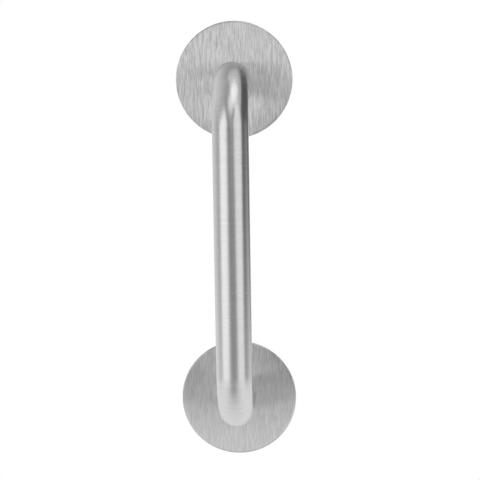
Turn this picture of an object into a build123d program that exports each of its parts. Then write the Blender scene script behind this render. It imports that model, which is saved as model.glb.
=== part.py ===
from build123d import *
import os

# Door pull handle: one bent stainless tube standing on two thin round roses, held by bolts that
# come through the door into a threaded insert in each end of the tube.
#
# The handle is modelled upright, as it hangs on a door. The origin lies on the door face, midway
# between the two fixings. +Z runs up along the grip, +Y points into the door, and the grip stands
# out towards -Y. Sizes are in millimetres.

# Overall sizes
fixing_centres = 150.0  # from one leg's axis to the other's
projection = 50.0  # from the door face to the front of the grip

# Bent tube
tube_diameter = 16.0
tube_wall = 1.5
bend_radius = 20.0  # at the tube's centre line
tube_end_chamfer = 0.3  # broken edge round the outside of each cut end

# Roses
rose_diameter = 54.0
rose_thickness = 1.5
rose_front_chamfer = 0.4
rose_back_chamfer = 0.2

# Threaded inserts
insert_bend_gap = 4.5  # straight bore left free between the insert and the bend
insert_end_chamfer = 0.8
insert_setback = 0.2  # shoulder inside the tube's end, so that only the tube bears on the rose
insert_shoulder = 1.5  # width of the step from the body down to the spigot
spigot_edge_chamfer = 0.3
spigot_recess = 0.3  # end of the spigot below the door face
thread_core_diameter = 5.0  # bored and tapped for an M6 bolt
thread_lead_in = 0.7  # countersink at both ends of the thread

# Clearances on the radius
insert_clearance = 0.05  # insert in the bore of the tube
spigot_clearance = 0.1  # spigot in the hole of the rose

# Places and sizes that follow from those above
leg_heights = {"upper": fixing_centres / 2, "lower": -fixing_centres / 2}
tube_end_y = -rose_thickness
grip_axis_y = tube_diameter / 2 - projection
bend_start_y = grip_axis_y + bend_radius
tube_radius = tube_diameter / 2
bore_radius = tube_radius - tube_wall
insert_radius = bore_radius - insert_clearance
insert_inner_y = bend_start_y + insert_bend_gap
insert_shoulder_y = tube_end_y - insert_setback
spigot_radius = insert_radius - insert_shoulder
spigot_end_y = -spigot_recess
core_radius = thread_core_diameter / 2
lead_in_radius = core_radius + thread_lead_in
rose_radius = rose_diameter / 2
rose_hole_radius = spigot_radius + spigot_clearance


def make_grip_tube():
    """One tube bent to a D: a ring carried along a leg, a bend, the grip, a bend and a leg."""
    path = FilletPolyline(
        (0, tube_end_y, leg_heights["upper"]),
        (0, grip_axis_y, leg_heights["upper"]),
        (0, grip_axis_y, leg_heights["lower"]),
        (0, tube_end_y, leg_heights["lower"]),
        radius=bend_radius,
    )
    end_plane = Plane(origin=path @ 0, z_dir=path % 0)
    tube = sweep(end_plane * (Circle(tube_radius) - Circle(bore_radius)), path=path)
    cut_ends = tube.faces().filter_by(GeomType.PLANE)
    outer_rims = [cut_end.outer_wire().edges() for cut_end in cut_ends]
    return chamfer(outer_rims, tube_end_chamfer)


def make_rose(height):
    """A flat disc turned about its leg, with broken rims and a hole that fits the spigot."""
    outline = Polyline(
        (rose_hole_radius, 0),
        (rose_radius - rose_back_chamfer, 0),
        (rose_radius, -rose_back_chamfer),
        (rose_radius, rose_front_chamfer - rose_thickness),
        (rose_radius - rose_front_chamfer, -rose_thickness),
        (rose_hole_radius, -rose_thickness),
        close=True,
    )
    return Pos(0, 0, height) * revolve(make_face(outline), Axis.Y)


def make_threaded_insert(height):
    """A turned plug for one end of the tube, with a spigot for the rose and a tapped hole."""
    outline = Polyline(
        (lead_in_radius, insert_inner_y),
        (insert_radius - insert_end_chamfer, insert_inner_y),
        (insert_radius, insert_inner_y + insert_end_chamfer),
        (insert_radius, insert_shoulder_y),
        (spigot_radius, insert_shoulder_y),
        (spigot_radius, spigot_end_y - spigot_edge_chamfer),
        (spigot_radius - spigot_edge_chamfer, spigot_end_y),
        (lead_in_radius, spigot_end_y),
        (core_radius, spigot_end_y - thread_lead_in),
        (core_radius, insert_inner_y + thread_lead_in),
        close=True,
    )
    return Pos(0, 0, height) * revolve(make_face(outline), Axis.Y)


pieces = {"grip_tube": make_grip_tube()}
for end, height in leg_heights.items():
    pieces[f"{end}_rose"] = make_rose(height)
    pieces[f"{end}_threaded_insert"] = make_threaded_insert(height)

os.makedirs("parts", exist_ok=True)
for name, piece in pieces.items():
    export_step(piece, f"parts/{name}.step")
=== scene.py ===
# %% [markdown]
# # A satin steel door pull
# The object is a D-shaped pull handle: one stainless tube bent twice, standing on two thin round
# roses, with a threaded insert hidden in each end of the tube. The CAD model holds every size. This
# script dresses it: each visible piece is worked out again as a fine surface, so that it can carry
# brush lines that follow its shape, and then it is lit as in a small studio.

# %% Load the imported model
import math

import bpy
import numpy as np
from mathutils import Matrix, Quaternion, Vector


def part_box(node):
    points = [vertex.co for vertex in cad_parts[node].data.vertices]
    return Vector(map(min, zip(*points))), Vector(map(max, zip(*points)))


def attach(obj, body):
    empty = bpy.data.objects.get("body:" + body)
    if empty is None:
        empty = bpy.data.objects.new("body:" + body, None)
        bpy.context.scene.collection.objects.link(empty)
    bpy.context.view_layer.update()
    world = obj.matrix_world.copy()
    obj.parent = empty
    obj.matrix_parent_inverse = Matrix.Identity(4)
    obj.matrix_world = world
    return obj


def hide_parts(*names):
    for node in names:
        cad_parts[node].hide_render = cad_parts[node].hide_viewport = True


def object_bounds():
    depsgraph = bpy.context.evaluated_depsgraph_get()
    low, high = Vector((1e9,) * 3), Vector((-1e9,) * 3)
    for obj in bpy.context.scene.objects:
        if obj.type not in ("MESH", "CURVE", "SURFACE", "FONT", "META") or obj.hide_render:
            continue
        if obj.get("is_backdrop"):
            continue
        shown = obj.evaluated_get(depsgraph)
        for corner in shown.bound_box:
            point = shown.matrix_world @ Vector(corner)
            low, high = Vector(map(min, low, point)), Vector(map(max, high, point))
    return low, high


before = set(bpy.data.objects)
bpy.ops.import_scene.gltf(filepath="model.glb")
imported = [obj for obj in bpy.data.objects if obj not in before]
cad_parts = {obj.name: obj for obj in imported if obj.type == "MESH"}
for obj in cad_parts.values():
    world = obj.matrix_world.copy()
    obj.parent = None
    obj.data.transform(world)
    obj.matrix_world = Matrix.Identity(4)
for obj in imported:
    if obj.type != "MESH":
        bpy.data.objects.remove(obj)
cad_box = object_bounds()
print("CAD nodes:", sorted(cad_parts))

# %% [markdown]
# ## Sizes
# Most sizes are read from the boxes of the CAD nodes, so that a new surface lies where its solid
# lies. A box can't show a wall, a bend or a thread, so those few are written where they are first
# needed. Blender works in metres, and the handle is drawn in millimetres.

# %% Sizes from the frame
MM = 0.001

tube_low, tube_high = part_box("grip_tube")
rose_low, rose_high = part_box("upper_rose")
insert_low, insert_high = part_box("upper_threaded_insert")

tube_radius = (tube_high.x - tube_low.x) / 2
grip_axis_y = tube_low.y + tube_radius
leg_height = tube_high.z - tube_radius
leg_heights = {"upper": leg_height, "lower": -leg_height}
rose_radius = (rose_high.x - rose_low.x) / 2
rose_back_y = rose_high.y
rose_front_y = rose_low.y
insert_radius = (insert_high.x - insert_low.x) / 2
print("tube radius", round(tube_radius / MM, 2), "mm, rose radius", round(rose_radius / MM, 2), "mm")

# %% [markdown]
# ## Turning a grid into a mesh
# Every piece here is a surface with two parameters, so its points form a grid. Blender could build
# such a mesh vertex by vertex, but whole numpy arrays are faster and easier to read: one array for
# the points, one for the four corners of each face, and one for the UV map. Both directions of
# these grids run round and meet themselves, so the surface is closed and has no border.

# %% A closed mesh from a closed grid
ROOT_BODY = "root"
SHARP_EDGE_ANGLE = math.radians(25)


def closed_grid_mesh(name, points, uv_corners, grain):
    """A mesh from points[i, j], where row i meets row i + 1, column j meets column j + 1, and the
    last row and column meet the first. uv_corners[i, j] holds the UV of each face's four corners.
    grain[i, j] is a vector kept on each vertex: x runs across the brush lines, y and z along them."""
    rows, columns = points.shape[:2]
    index = np.arange(rows * columns).reshape(rows, columns)
    across = np.roll(index, -1, axis=0)
    faces = np.stack(
        [index, np.roll(index, -1, axis=1), np.roll(across, -1, axis=1), across], axis=-1
    ).reshape(-1, 4)
    mesh = bpy.data.meshes.new(name)
    mesh.from_pydata(points.reshape(-1, 3).tolist(), [], faces.tolist())
    uv_layer = mesh.uv_layers.new(name="brush")
    uv_layer.data.foreach_set("uv", uv_corners.reshape(-1).astype(np.float32))
    attribute = mesh.attributes.new("grain", "FLOAT_VECTOR", "POINT")
    attribute.data.foreach_set("vector", grain.reshape(-1).astype(np.float32))
    mesh.polygons.foreach_set("use_smooth", np.ones(len(faces), bool))
    mesh.set_sharp_from_angle(angle=SHARP_EDGE_ANGLE)
    mesh.update()
    piece = bpy.data.objects.new(name, mesh)
    bpy.context.scene.collection.objects.link(piece)
    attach(piece, ROOT_BODY)
    print(name, "has", rows * columns, "points and", len(faces), "faces")
    return piece


print("edges sharper than", round(math.degrees(SHARP_EDGE_ANGLE)), "degrees stay sharp")

# %% [markdown]
# ## UV maps for closed grids
# A closed grid has as many faces as points, but its UV map has a seam: the last face ends one step
# further on, and not at the start again. Blender's unwrapping could find some map for each piece.
# It doesn't know which way the brush ran, though, so each map is worked out with its shape.

# %% Helpers for UV corners and for points round a circle
FULL_TURN = 2 * math.pi


def face_corners(uv):
    """UVs of the four corners of every face of a closed grid. uv[i, j] has one row and one column more
    than the points, so that the last faces don't run back to the start."""
    return np.stack([uv[:-1, :-1], uv[:-1, 1:], uv[1:, 1:], uv[1:, :-1]], axis=2)


def unrolled_uv(u, v):
    """Face corners of a surface that is unrolled flat, with u along its rows and v along its columns."""
    return face_corners(np.stack(np.meshgrid(u, v, indexing="ij"), axis=-1))


def even_turns(count):
    """Angles of count points, evenly spaced round a circle: their number times a full turn / count."""
    return np.arange(count) * FULL_TURN / count


print("a grid of 3 by 4 points has", face_corners(np.zeros((4, 5, 2))).shape[:3], "UV corners")

# %% [markdown]
# ## Nodes in short
# A material or a world is a tree of nodes. Built in code, each small sum takes four lines, so two
# helpers make that one line: one feeds a socket, the other makes a Math node and feeds all of it.

# %% Helpers for nodes


def feed(tree, socket, value):
    """Give a socket a number, or link it to the output of another node."""
    if isinstance(value, (int, float)):
        socket.default_value = value
    else:
        tree.links.new(value, socket)


def math_node(tree, operation, *values):
    """The output of a new Math node, which is fed with numbers or with the outputs of other nodes."""
    node = tree.nodes.new("ShaderNodeMath")
    node.operation = operation
    for socket, value in zip(node.inputs, values):
        feed(tree, socket, value)
    return node.outputs["Value"]


print("helpers for nodes are ready")

# %% [markdown]
# ## Brushed grain
# Satin stainless steel is ground with a belt, which leaves long thin scratches that all run one
# way. Seen from a step away they show as soft streaks, a little lighter or darker. All the finishes
# here share that look at different scales, so it is one node group. Noise that is only stretched
# gives slanted flames, so the steel is first cut into thin straight lines, and each line gets noise
# of its own along it, once fine and once coarse. The group puts out a tint, a roughness and a height.

# %% The shared grain group
LINES_APART = 7.37
NOISE_MIDDLE = 0.5
OCTAVE_FADE = 0.6
ROUGHNESS_SHARE = 0.5


def brushed_grain_group():
    """A line's number is x times Across, rounded down. Its noise is read at that number times
    LINES_APART, far from its neighbours, and at y and z times Along. A second set of lines is coarser
    and longer and weakened to the share Coarse. Tint is 1 plus both times Contrast, Roughness is the
    given value plus a share of the coarse set, and Height is the fine set."""
    group = bpy.data.node_groups.new("brushed_grain", "ShaderNodeTree")
    sockets = [
        ("Vector", "INPUT", "NodeSocketVector"),
        ("Across", "INPUT", "NodeSocketFloat"),
        ("Along", "INPUT", "NodeSocketFloat"),
        ("Contrast", "INPUT", "NodeSocketFloat"),
        ("Coarse", "INPUT", "NodeSocketFloat"),
        ("Roughness", "INPUT", "NodeSocketFloat"),
        ("Tint", "OUTPUT", "NodeSocketFloat"),
        ("Roughness", "OUTPUT", "NodeSocketFloat"),
        ("Height", "OUTPUT", "NodeSocketFloat"),
    ]
    for socket_name, in_out, kind in sockets:
        group.interface.new_socket(socket_name, in_out=in_out, socket_type=kind)
    nodes, links = group.nodes, group.links
    given = nodes.new("NodeGroupInput").outputs
    result = nodes.new("NodeGroupOutput").inputs
    place = nodes.new("ShaderNodeSeparateXYZ")
    links.new(given["Vector"], place.inputs["Vector"])

    def line_noise(coarser, longer, detail):
        """Noise about 0 on lines that are coarser times as wide, in streaks longer times as long."""
        across = math_node(group, "DIVIDE", given["Across"], coarser)
        along = math_node(group, "DIVIDE", given["Along"], longer)
        line = math_node(group, "FLOOR", math_node(group, "MULTIPLY", place.outputs["X"], across))
        spot = nodes.new("ShaderNodeCombineXYZ")
        links.new(math_node(group, "MULTIPLY", line, LINES_APART), spot.inputs["X"])
        links.new(math_node(group, "MULTIPLY", place.outputs["Y"], along), spot.inputs["Y"])
        links.new(math_node(group, "MULTIPLY", place.outputs["Z"], along), spot.inputs["Z"])
        noise = nodes.new("ShaderNodeTexNoise")
        noise.inputs["Scale"].default_value = 1.0
        noise.inputs["Detail"].default_value = detail
        noise.inputs["Roughness"].default_value = OCTAVE_FADE
        links.new(spot.outputs["Vector"], noise.inputs["Vector"])
        return math_node(group, "SUBTRACT", noise.outputs["Fac"], NOISE_MIDDLE)

    fine = line_noise(coarser=1.0, longer=1.0, detail=2.0)
    broad = line_noise(coarser=3.3, longer=2.0, detail=1.0)
    coarse = math_node(group, "MULTIPLY", broad, given["Coarse"])
    both = math_node(group, "ADD", fine, coarse)
    swing = math_node(group, "MULTIPLY", both, given["Contrast"])
    links.new(math_node(group, "ADD", swing, 1.0), result["Tint"])
    coarse_swing = math_node(group, "MULTIPLY", coarse, given["Contrast"])
    rough_swing = math_node(group, "MULTIPLY", coarse_swing, ROUGHNESS_SHARE)
    links.new(math_node(group, "ADD", given["Roughness"], rough_swing), result["Roughness"])
    links.new(fine, result["Height"])
    return group


grain_group = brushed_grain_group()
print("node group", grain_group.name, "has", len(grain_group.nodes), "nodes")

# %% [markdown]
# ## Brushed steel
# Brushed metal reflects sharply along its scratches and smears the reflection across them. The
# Principled shader does that with its Anisotropic value, and the UV map tells it which way to smear:
# the U direction lies across the scratches. The tube is brushed round and round, so its reflections
# run into long bands along it. The roses are brushed straight up and down, so theirs smear sideways.
# Where a piece isn't the same all over, its points keep a number, and the steel reads it: one for a
# cut edge, which is darker, and one for softer brushing.

# %% One function for all the steels
CUT_EDGE_SHADE = 0.16


def keep_on_points(piece, name, values):
    """Keep one number for each point of a piece, which its material can read by that name."""
    attribute = piece.data.attributes.new(name, "FLOAT", "POINT")
    attribute.data.foreach_set("value", np.asarray(values, np.float32).reshape(-1))


def brushed_steel(name, grey, roughness, smear, lines_across, lines_along, contrast, coarse, depth):
    """A metal whose brush lines follow the piece's grain attribute, lines_across and lines_along per
    metre. smear is how far reflections stretch across the lines, contrast how far the tint swings,
    coarse the share of broad streaks, and depth the depth of the lines in metres. A piece may keep
    two more numbers on its points: softer_brushing takes that share off the contrast, and cut_edge
    darkens the steel by up to CUT_EDGE_SHADE."""
    material = bpy.data.materials.new(name)
    material.use_nodes = True
    tree = material.node_tree
    nodes, links = tree.nodes, tree.links
    shader = nodes["Principled BSDF"]
    shader.inputs["Metallic"].default_value = 1.0
    shader.inputs["Anisotropic"].default_value = smear

    def kept_on_points(attribute_name):
        """What the piece's points keep by that name, and 0 where they keep nothing."""
        attribute = nodes.new("ShaderNodeAttribute")
        attribute.attribute_name = attribute_name
        return attribute.outputs

    streaks = nodes.new("ShaderNodeGroup")
    streaks.node_tree = grain_group
    links.new(kept_on_points("grain")["Vector"], streaks.inputs["Vector"])
    streaks.inputs["Across"].default_value = lines_across
    streaks.inputs["Along"].default_value = lines_along
    contrast_share = math_node(tree, "SUBTRACT", 1, kept_on_points("softer_brushing")["Fac"])
    links.new(math_node(tree, "MULTIPLY", contrast_share, contrast), streaks.inputs["Contrast"])
    streaks.inputs["Coarse"].default_value = coarse
    streaks.inputs["Roughness"].default_value = roughness

    shade = math_node(tree, "MULTIPLY", kept_on_points("cut_edge")["Fac"], CUT_EDGE_SHADE)
    tint = math_node(tree, "SUBTRACT", streaks.outputs["Tint"], shade)
    tinted = nodes.new("ShaderNodeVectorMath")
    tinted.operation = "SCALE"
    tinted.inputs[0].default_value = (grey, grey, grey)
    links.new(tint, tinted.inputs["Scale"])
    links.new(tinted.outputs["Vector"], shader.inputs["Base Color"])
    links.new(streaks.outputs["Roughness"], shader.inputs["Roughness"])

    lines = nodes.new("ShaderNodeBump")
    lines.inputs["Distance"].default_value = depth
    links.new(streaks.outputs["Height"], lines.inputs["Height"])
    links.new(lines.outputs["Normal"], shader.inputs["Normal"])

    smear_direction = nodes.new("ShaderNodeTangent")
    smear_direction.direction_type = "UV_MAP"
    smear_direction.uv_map = "brush"
    links.new(smear_direction.outputs["Tangent"], shader.inputs["Tangent"])
    print("material", name, "has", len(nodes), "nodes")
    return material


# %% [markdown]
# ## Three finishes
# The tube is the smoothest: from a step away its rings hardly show. The roses have clear streaks,
# because sheet is brushed more coarsely. The inserts are turned on a lathe and stay as the tool
# leaves them, a little duller and with deeper lines.

# %% Steel for the tube, the roses and the inserts
tube_steel = brushed_steel(
    "tube_steel",
    grey=0.75,
    roughness=0.27,
    smear=0.65,
    lines_across=2800,
    lines_along=60,
    contrast=0.17,
    coarse=0.35,
    depth=0.1e-6,
)
rose_steel = brushed_steel(
    "rose_steel",
    grey=0.8,
    roughness=0.3,
    smear=1.0,
    lines_across=3200,
    lines_along=165,
    contrast=1.3,
    coarse=0.1,
    depth=0.1e-6,
)
insert_steel = brushed_steel(
    "insert_steel",
    grey=0.65,
    roughness=0.35,
    smear=0.8,
    lines_across=4000,
    lines_along=60,
    contrast=0.15,
    coarse=0.35,
    depth=3.0e-6,
)

# %% [markdown]
# ## The line of the tube
# The real tube is bent cold round a former, so its centre line is straight runs joined by two quarter
# circles. Each point of the skin lies on a ring about that line, so the first step is a function
# that gives the ring at any distance along it. A free curve through a few points would be quicker
# to draw, but it bulges where the straight runs begin.

# %% The centre line and the ring on it
QUARTER_TURN = math.pi / 2
bend_radius = 20 * MM

leg_run = rose_front_y - (grip_axis_y + bend_radius)
quarter_bend = bend_radius * QUARTER_TURN
grip_run = 2 * (leg_height - bend_radius)
first_bend_end = leg_run + quarter_bend
second_bend_start = first_bend_end + grip_run
second_bend_end = second_bend_start + quarter_bend
centre_line_length = second_bend_end + leg_run


def ring_points(s, r, turn):
    """Points of rings round the centre line. At distance s along it, from the upper rose, the line has
    run out along the leg, turned by t1 of the first bend, run down the grip, turned by t2 of the
    second bend and run back along the leg. The ring there has radius r: the point at angle turn is
    the centre plus r cos(turn) along X plus r sin(turn) along the outward side of the D."""
    t1 = np.clip((s - leg_run) / bend_radius, 0, QUARTER_TURN)
    t2 = np.clip((s - second_bend_start) / bend_radius, 0, QUARTER_TURN)
    run_out = np.clip(s, 0, leg_run)
    run_down = np.clip(s - first_bend_end, 0, grip_run)
    run_back = np.clip(s - second_bend_end, 0, leg_run)
    y = rose_front_y - run_out - bend_radius * np.sin(t1) + bend_radius * (1 - np.cos(t2)) + run_back
    z = leg_height - bend_radius * (1 - np.cos(t1)) - run_down - bend_radius * np.sin(t2)
    outward_y = -np.sin(t1 + t2)
    outward_z = np.cos(t1 + t2)
    side = r[:, None] * np.cos(turn)
    out = r[:, None] * np.sin(turn)
    ring_y = y[:, None] + out * outward_y[:, None]
    ring_z = z[:, None] + out * outward_z[:, None]
    return np.stack([side, ring_y, ring_z], axis=-1)


print("centre line", round(centre_line_length / MM, 1), "mm long")

# %% [markdown]
# ## The skin of the tube
# A curve object with a bevel would give the outside of the tube, but not the wall, the bore and the
# cut ends in one closed skin. So the skin is a loop of rings: out along the outside, over the cut
# end, back through the bore and over the other end. The UV map unrolls that loop, and the brush
# lines run round it.

# %% Rings out along the outside and back through the bore
BEND_STEPS = 48
STRAIGHT_STEP = 2.5 * MM
tube_wall = 1.5 * MM
tube_lip = 0.3 * MM


def wall_stations(start, end):
    """Distances along the centre line from start to end: even steps in the straight runs, finer even
    steps in the two bends."""
    stops = [start, leg_run, first_bend_end, second_bend_start, second_bend_end, end]
    runs = []
    for number, (low, high) in enumerate(zip(stops, stops[1:])):
        in_a_bend = number % 2 == 1
        steps = BEND_STEPS if in_a_bend else max(2, round((high - low) / STRAIGHT_STEP))
        runs.append(np.linspace(low, high, steps, endpoint=False))
    return np.concatenate([*runs, [end]])


outside = wall_stations(tube_lip, centre_line_length - tube_lip)
bore = wall_stations(0.0, centre_line_length)[::-1]
bore_radius = tube_radius - tube_wall
lip_radius = tube_radius - tube_lip
loop_s = np.concatenate([outside, [centre_line_length], bore, [0.0]])
loop_r = np.concatenate(
    [np.full(len(outside), tube_radius), [lip_radius], np.full(len(bore), bore_radius), [lip_radius]]
)
print("the skin has", len(loop_s), "rings,", len(outside), "of them on the outside")

# %% The tube, with its UV map and its grain
RING_POINTS = 128
ring_turn = even_turns(RING_POINTS)

loop_closed = np.stack([np.append(loop_s, loop_s[0]), np.append(loop_r, loop_r[0])], axis=-1)
loop_length = np.concatenate([[0], np.cumsum(np.linalg.norm(np.diff(loop_closed, axis=0), axis=1))])
round_the_tube = np.linspace(0, FULL_TURN * tube_radius, RING_POINTS + 1)
ring_x = loop_r[:, None] * np.cos(ring_turn)
ring_out = loop_r[:, None] * np.sin(ring_turn)
tube_grain = np.stack(np.broadcast_arrays(loop_length[:-1, None], ring_x, ring_out), axis=-1)
grip_tube = closed_grid_mesh(
    "grip_tube_brushed",
    ring_points(loop_s, loop_r, ring_turn),
    unrolled_uv(loop_length, round_the_tube),
    tube_grain,
)
grip_tube.data.materials.append(tube_steel)
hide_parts("grip_tube")

# %% [markdown]
# ## The profile of a rose
# Each rose is a thin disc with a hole for the spigot and slightly rounded rims. A cylinder with a
# Bevel modifier would give that shape too, but a turned profile gives rows of points that say at
# once what is face and what is rim.

# %% Front face, front rim, back rim and back face
FACE_RINGS = 24
ROUND_STEPS = 6
rose_front_round = 0.4 * MM
rose_back_round = 0.2 * MM
rose_hole_radius = 5.05 * MM


def quarter_round(centre_r, centre_y, radius, start, end):
    """Radius and depth along an arc about (centre_r, centre_y), from angle start to angle end."""
    angle = np.linspace(start, end, ROUND_STEPS + 1)
    return np.stack([centre_r + radius * np.cos(angle), centre_y + radius * np.sin(angle)], axis=-1)


front_edge = rose_radius - rose_front_round
back_edge = rose_radius - rose_back_round
face_r = np.linspace(rose_hole_radius, front_edge, FACE_RINGS)
front_face = np.stack([face_r, np.full(FACE_RINGS, rose_front_y)], axis=-1)
front_rim = quarter_round(
    front_edge, rose_front_y + rose_front_round, rose_front_round, start=-QUARTER_TURN, end=0
)
back_rim = quarter_round(
    back_edge, rose_back_y - rose_back_round, rose_back_round, start=0, end=QUARTER_TURN
)
back_r = np.linspace(back_edge, rose_hole_radius, FACE_RINGS)
back_face = np.stack([back_r, np.full(FACE_RINGS, rose_back_y)], axis=-1)
rose_profile = np.concatenate([front_face, front_rim[1:], back_rim, back_face[1:]])

rim_start = FACE_RINGS - 1
rim_rows = len(front_rim) + len(back_rim) - 1
rim_faces = np.zeros(len(rose_profile), bool)
rim_faces[rim_start : rim_start + rim_rows] = True
rim_points = rim_faces & np.roll(rim_faces, 1)
print("rose profile has", len(rose_profile), "points,", int(rim_points.sum()), "of them on the rim")

# %% [markdown]
# ## The roses
# The discs are cut from sheet that was brushed first, so their lines run straight up and down and
# stop at the rim. The UV map therefore lies flat on the faces, with U along X, and only on the rim
# does U run through the thickness. The cut rim is a little darker than the brushed faces. The lower
# rose is brushed more softly than the upper one.

# %% Two discs from one profile
ROSE_POINTS = 192
SOFTER_BRUSHING = {"upper": 0.0, "lower": 0.4}
rose_turn = even_turns(ROSE_POINTS)
round_the_rim = np.linspace(0, FULL_TURN * rose_radius, ROSE_POINTS + 1)


def make_rose(end, height):
    """The profile (r, y) turned about the leg: x = r cos(turn), z = height + r sin(turn). The UV of a
    face is (x, z - height), and that of the rim is y and the length round the rim."""
    r, y = rose_profile[:, :1], rose_profile[:, 1:]
    x = r * np.cos(rose_turn)
    z = r * np.sin(rose_turn)
    points = np.stack([x, np.broadcast_to(y, x.shape), height + z], axis=-1)
    flat_uv = np.pad(np.stack([x, z], axis=-1), ((0, 1), (0, 1), (0, 0)), mode="wrap")
    rim_corners = unrolled_uv(np.append(y[:, 0], y[0, 0]), round_the_rim)
    corners = np.where(rim_faces[:, None, None, None], rim_corners, face_corners(flat_uv))
    rose = closed_grid_mesh(f"{end}_rose_brushed", points, corners, points)
    keep_on_points(rose, "cut_edge", np.repeat(rim_points, ROSE_POINTS))
    keep_on_points(rose, "softer_brushing", np.full(len(rose.data.vertices), SOFTER_BRUSHING[end]))
    rose.data.materials.append(rose_steel)
    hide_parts(f"{end}_rose")


for end, height in leg_heights.items():
    make_rose(end, height)

# %% [markdown]
# ## The thread
# A turned plug sits in each end of the tube, with a tapped hole for the bolt. A screw modifier could
# wind a thread, but its ends would stay open. Here the thread is a groove in the bore itself, so the
# bore's radius depends on depth and angle at once: a saw of one tooth per pitch that slips by one
# pitch per turn.

# %% The tapped bore
PLUG_POINTS = 96
STEPS_PER_PITCH = 12
FLANK_SLOPE = 1.15
CREST_LAND = 0.1
thread_core_radius = 2.5 * MM
thread_pitch = 1.0 * MM
thread_depth = 0.5 * MM
lead_in = 0.7 * MM
mouth_radius = thread_core_radius + lead_in
plug_inner_y = insert_low.y
spigot_end_y = insert_high.y
plug_turn = even_turns(PLUG_POINTS)


def threaded_bore(y):
    """Radius of the bore at depth y and each angle: the core plus a V groove, or the lead-in cone at
    either end where that is wider. The groove follows a saw of (y / pitch - angle / full turn),
    steepened by FLANK_SLOPE and lowered by CREST_LAND, so that the crests between are flat."""
    phase = (y[:, None] / thread_pitch - plug_turn / FULL_TURN) % 1.0
    saw = 1 - np.abs(2 * phase - 1)
    groove = thread_depth * np.clip(FLANK_SLOPE * saw - CREST_LAND, 0, 1)
    from_mouth = np.minimum(spigot_end_y - y, y - plug_inner_y)
    cone = mouth_radius - from_mouth
    return np.maximum(thread_core_radius + groove, cone[:, None])


bore_steps = round((spigot_end_y - plug_inner_y) / thread_pitch * STEPS_PER_PITCH)
bore_y = np.linspace(spigot_end_y, plug_inner_y, bore_steps + 1)[1:-1]
bore_r = threaded_bore(bore_y)
print("bore is", round(bore_r.min() * 2 / MM, 2), "to", round(bore_r.max() * 2 / MM, 2), "mm wide")

# %% [markdown]
# ## The inserts
# From behind, the spigot of each plug shows in the hole of its rose. The plug is turned, so its
# outside is a short profile with a few corners, and the bore closes it to a ring. Cutting the bore
# out of a solid with a Boolean modifier would leave long thin faces, so both go into one grid, whose
# lines run round the plug as the marks of the lathe do.

# %% Two threaded plugs
plug_end_chamfer = 0.8 * MM
plug_shoulder = 1.5 * MM
plug_setback = 0.2 * MM
spigot_chamfer = 0.3 * MM
shoulder_y = rose_front_y - plug_setback
spigot_radius = insert_radius - plug_shoulder

plug_outside = np.array(
    [
        [mouth_radius, plug_inner_y],
        [insert_radius - plug_end_chamfer, plug_inner_y],
        [insert_radius, plug_inner_y + plug_end_chamfer],
        [insert_radius, shoulder_y],
        [spigot_radius, shoulder_y],
        [spigot_radius, spigot_end_y - spigot_chamfer],
        [spigot_radius - spigot_chamfer, spigot_end_y],
        [mouth_radius, spigot_end_y],
    ]
)
plug_r = np.concatenate([np.repeat(plug_outside[:, :1], PLUG_POINTS, axis=1), bore_r])
plug_y = np.concatenate([plug_outside[:, 1], bore_y])
plug_along = np.concatenate([[0], np.cumsum(np.hypot(np.diff(plug_r[:, 0]), np.diff(plug_y)))])
plug_along_closed = np.append(plug_along, plug_along[-1] + STRAIGHT_STEP)
round_the_plug = np.linspace(0, FULL_TURN * insert_radius, PLUG_POINTS + 1)


def make_plug(end, height):
    """x = r cos(turn), z = height + r sin(turn), with r and y along the outside and then the bore."""
    x = plug_r * np.cos(plug_turn)
    z = plug_r * np.sin(plug_turn)
    points = np.stack([x, np.broadcast_to(plug_y[:, None], x.shape), height + z], axis=-1)
    grain = np.stack(np.broadcast_arrays(plug_along[:, None], x, z), axis=-1)
    corners = unrolled_uv(plug_along_closed, round_the_plug)
    plug = closed_grid_mesh(f"{end}_insert_threaded", points, corners, grain)
    plug.data.materials.append(insert_steel)
    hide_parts(f"{end}_threaded_insert")


for end, height in leg_heights.items():
    make_plug(end, height)

# %% [markdown]
# ## The lamps
# Brushed steel has hardly any colour of its own: what shows is the room. The tube is a round mirror
# that draws each lamp out into a band, so the bands of the photograph tell where the lamps stood.
# Two large softboxes, left and right of the camera, give the bright bands of the grip. A high one
# and a leaning strip light the roses and the upper bend, and a small one in front lifts the grey
# between the bands. Area lamps fit, because the steel shows them as what they are, bright sheets.

# %% Softboxes
SOFTBOX_DISTANCE = 3.0


def direction(azimuth, elevation):
    """Unit vector from the handle. Azimuth 0 is straight out from the door and grows to the right."""
    a, e = math.radians(azimuth), math.radians(elevation)
    return Vector((math.sin(a) * math.cos(e), -math.cos(a) * math.cos(e), math.sin(e)))


def softbox(name, azimuth, elevation, lean, width, height, radiance):
    """A rectangular area lamp that faces the handle, turned by lean about the line to the handle. Its
    power is its radiance times pi times its area."""
    lamp = bpy.data.lights.new(name, "AREA")
    lamp.shape = "RECTANGLE"
    lamp.size, lamp.size_y = width, height
    lamp.energy = radiance * math.pi * width * height
    box = bpy.data.objects.new(name, lamp)
    outward = direction(azimuth, elevation)
    box.location = outward * SOFTBOX_DISTANCE
    upright = outward.to_track_quat("Z", "Y")
    box.rotation_euler = (upright @ Quaternion((0, 0, 1), math.radians(lean))).to_euler()
    box.visible_camera = False
    bpy.context.scene.collection.objects.link(box)
    print(name, "at azimuth", azimuth, "and elevation", elevation)


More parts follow.
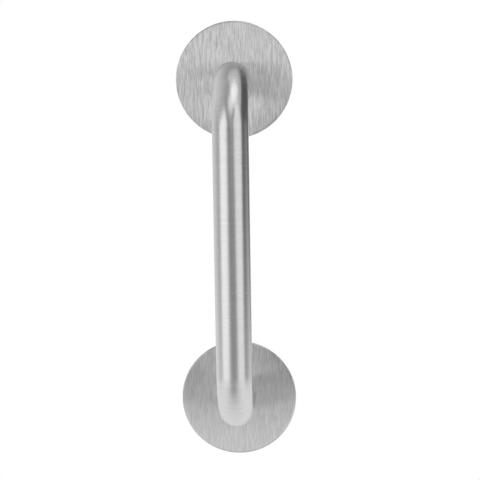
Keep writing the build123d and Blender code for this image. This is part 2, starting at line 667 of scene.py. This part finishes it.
softbox("left_softbox", azimuth=-45, elevation=-3, lean=43, width=3.2, height=1.9, radiance=0.81)
softbox("right_softbox", azimuth=48, elevation=3, lean=-44, width=2.7, height=2.5, radiance=0.79)
softbox("high_softbox", azimuth=76, elevation=60, lean=-38, width=3.1, height=5.2, radiance=0.44)
softbox("strip_softbox", azimuth=26, elevation=52, lean=-53, width=1.8, height=3.9, radiance=0.63)
softbox("front_softbox", azimuth=10, elevation=4, lean=7, width=0.9, height=0.6, radiance=0.36)

# %% [markdown]
# ## The paper on the floor
# Under the handle lies a sheet of pale paper, which lights the underside of the bends. In front, the
# camera stands in the way of the light, so the paper has a soft dark spot there. A real shadow would
# need a model of the camera, and a spot worked out from the distance to its middle is enough for
# what the steel shows of it.

# %% Pale paper with a soft spot
FLOOR_PALE = 0.9
PAPER_ROUGHNESS = 0.9
SHADE_MIDDLE = (-0.04, -1.16)
SHADE_REACH = (0.6, 0.74)
SHADE_DEPTH = 0.66


def make_floor_paper():
    """Seen in the steel, the paper is pale times (1 - depth times exp(-d squared)), with d the distance
    from the middle of the spot as a share of its reach. The camera itself sees it white."""
    material = bpy.data.materials.new("floor_paper")
    material.use_nodes = True
    tree = material.node_tree
    nodes, links = tree.nodes, tree.links

    place = nodes.new("ShaderNodeTexCoord")
    split = nodes.new("ShaderNodeSeparateXYZ")
    links.new(place.outputs["Object"], split.inputs["Vector"])
    squares = []
    for axis, middle, reach in zip("XY", SHADE_MIDDLE, SHADE_REACH):
        from_middle = math_node(tree, "SUBTRACT", split.outputs[axis], middle)
        share = math_node(tree, "DIVIDE", from_middle, reach)
        squares.append(math_node(tree, "MULTIPLY", share, share))
    distance_squared = math_node(tree, "ADD", *squares)
    spot = math_node(tree, "EXPONENT", math_node(tree, "MULTIPLY", distance_squared, -1))
    light_left = math_node(tree, "SUBTRACT", 1, math_node(tree, "MULTIPLY", spot, SHADE_DEPTH))
    pale = math_node(tree, "MULTIPLY", light_left, FLOOR_PALE)

    path = nodes.new("ShaderNodeLightPath")
    by_camera = path.outputs["Is Camera Ray"]
    by_camera_or_steel = math_node(tree, "MAXIMUM", by_camera, path.outputs["Is Glossy Ray"])
    paper = nodes["Principled BSDF"]
    paper.inputs["Base Color"].default_value = (FLOOR_PALE, FLOOR_PALE, FLOOR_PALE, 1)
    paper.inputs["Roughness"].default_value = PAPER_ROUGHNESS
    shown = nodes.new("ShaderNodeEmission")
    links.new(math_node(tree, "MAXIMUM", pale, by_camera), shown.inputs["Strength"])
    mix = nodes.new("ShaderNodeMixShader")
    links.new(by_camera_or_steel, mix.inputs["Fac"])
    links.new(paper.outputs["BSDF"], mix.inputs[1])
    links.new(shown.outputs["Emission"], mix.inputs[2])
    links.new(mix.outputs["Shader"], nodes["Material Output"].inputs["Surface"])
    return material


floor_paper = make_floor_paper()
print("material", floor_paper.name, "has", len(floor_paper.node_tree.nodes), "nodes")

# %% [markdown]
# ## The floor
# The handle is made to hang on a door and stands on nothing, so the floor is one flat sheet well
# below it. A plane could be added with an operator and scaled, but four points put it in place at
# once. The floor isn't part of the object, so it is marked as stage.

# %% A flat sheet under the handle
FLOOR_HEIGHT = -0.7
FLOOR_FRONT = 2.4
FLOOR_REACH = 2.8

left, right, front, back = -FLOOR_REACH, FLOOR_REACH, -FLOOR_FRONT, FLOOR_REACH
floor_plan = np.array([[left, front], [right, front], [right, back], [left, back]])
floor_points = np.column_stack([floor_plan, np.full(len(floor_plan), FLOOR_HEIGHT)])
floor_mesh = bpy.data.meshes.new("floor")
floor_mesh.from_pydata(floor_points.tolist(), [], [range(len(floor_plan))])
floor_mesh.materials.append(floor_paper)
floor = bpy.data.objects.new("floor", floor_mesh)
bpy.context.scene.collection.objects.link(floor)
floor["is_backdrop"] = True
print("floor laid at", FLOOR_HEIGHT, "m")

# %% [markdown]
# ## The room
# Round the lamps lies a dim room. Walls could be modelled, but the steel shows them too blurred to
# tell, so they are painted on the world as round patches with soft edges, each laid over the last: a
# ceiling, a bright wall to the left behind the handle, a grey card low on the right, and the pale
# sweep that hangs behind the handle. To the camera itself the world is white.

# %% Dim room with a ceiling, a wall, a card and a sweep
WHITE = (1, 1, 1, 1)
ROOM_LIGHT = 0.1
CEILING_LIGHT = 0.32
WALL_LIGHT = 1.2
CARD_LIGHT = 0.44
SWEEP_LIGHT = 0.73


def studio_world():
    """World light: the dim room with four patches laid over it, one after the other. Rays straight
    from the camera see plain white instead."""
    world = bpy.data.worlds.new("studio")
    world.use_nodes = True
    tree = world.node_tree
    nodes, links = tree.nodes, tree.links
    room = nodes["Background"]
    room.inputs["Color"].default_value = WHITE
    ray = nodes.new("ShaderNodeTexCoord")

    def patch(beneath, light, azimuth, elevation, half_width, softness):
        """A mix from the light beneath to the light of the patch, by a smooth step of the angle from
        its middle: 0 at half_width plus softness and 1 at half_width less softness, in degrees."""
        towards = nodes.new("ShaderNodeVectorMath")
        towards.operation = "DOT_PRODUCT"
        towards.inputs[1].default_value = direction(azimuth, elevation)
        links.new(ray.outputs["Generated"], towards.inputs[0])
        edge = nodes.new("ShaderNodeMapRange")
        edge.interpolation_type = "SMOOTHSTEP"
        edge.inputs["From Min"].default_value = math.radians(half_width + softness)
        edge.inputs["From Max"].default_value = math.radians(half_width - softness)
        links.new(math_node(tree, "ARCCOSINE", towards.outputs["Value"]), edge.inputs["Value"])
        laid = nodes.new("ShaderNodeMix")
        links.new(edge.outputs["Result"], laid.inputs["Factor"])
        feed(tree, laid.inputs["A"], beneath)
        laid.inputs["B"].default_value = light
        return laid.outputs["Result"]

    ceiling = patch(ROOM_LIGHT, CEILING_LIGHT, azimuth=-39, elevation=35, half_width=52, softness=8)
    wall = patch(ceiling, WALL_LIGHT, azimuth=-125, elevation=18, half_width=22, softness=78)
    card = patch(wall, CARD_LIGHT, azimuth=121, elevation=-33, half_width=30, softness=3)
    sweep = patch(card, SWEEP_LIGHT, azimuth=199, elevation=-14, half_width=43, softness=10)
    links.new(sweep, room.inputs["Strength"])
    white = nodes.new("ShaderNodeBackground")
    white.inputs["Color"].default_value = WHITE
    path = nodes.new("ShaderNodeLightPath")
    mix = nodes.new("ShaderNodeMixShader")
    links.new(path.outputs["Is Camera Ray"], mix.inputs["Fac"])
    links.new(room.outputs["Background"], mix.inputs[1])
    links.new(white.outputs["Background"], mix.inputs[2])
    links.new(mix.outputs["Shader"], nodes["World Output"].inputs["Surface"])
    return world


studio = studio_world()
bpy.context.scene.world = studio
print("world", studio.name, "has", len(studio.node_tree.nodes), "nodes")

# %% [markdown]
# ## The camera
# The outlines of the two roses and of the tube fix where the photograph was taken from: a little over
# 0.6 m in front of the door, slightly to the right and near the top of the handle, looking down a
# few degrees with a long lens. A constraint could aim the camera at the handle, but the photograph
# also fixes a small roll, so the three turns are written out.

# %% Camera
camera_place = (0.03052, -0.62466, 0.07171)
camera_yaw = math.radians(2.658)
camera_pitch = math.radians(-6.525)
camera_roll = math.radians(0.906)
camera_lens_mm = 100.4
camera_sensor_mm = 36
camera_near = 10 * MM

camera = bpy.data.objects.new("camera", bpy.data.cameras.new("camera"))
camera.data.lens = camera_lens_mm
camera.data.sensor_width = camera_sensor_mm
camera.data.clip_start = camera_near
camera.matrix_world = Matrix.Translation(camera_place) @ (
    Matrix.Rotation(camera_yaw, 4, "Z")
    @ Matrix.Rotation(camera_pitch + QUARTER_TURN, 4, "X")
    @ Matrix.Rotation(-camera_roll, 4, "Z")
)
bpy.context.scene.collection.objects.link(camera)
bpy.context.scene.camera = camera
bpy.context.scene.view_settings.view_transform = "Standard"
print("camera", round(Vector(camera_place).length, 3), "m from the origin, on the face of the door")

# %% [markdown]
# ## The end
# The dressed handle has to be as large as the CAD model, so both boxes are written down for a last
# look.

# %% Sizes of the CAD model and of the dressed model, and the end
boxes = {"cad": cad_box, "visual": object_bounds()}
for key, (low, high) in boxes.items():
    print(key, "box is", [round(side / MM, 2) for side in high - low], "mm")
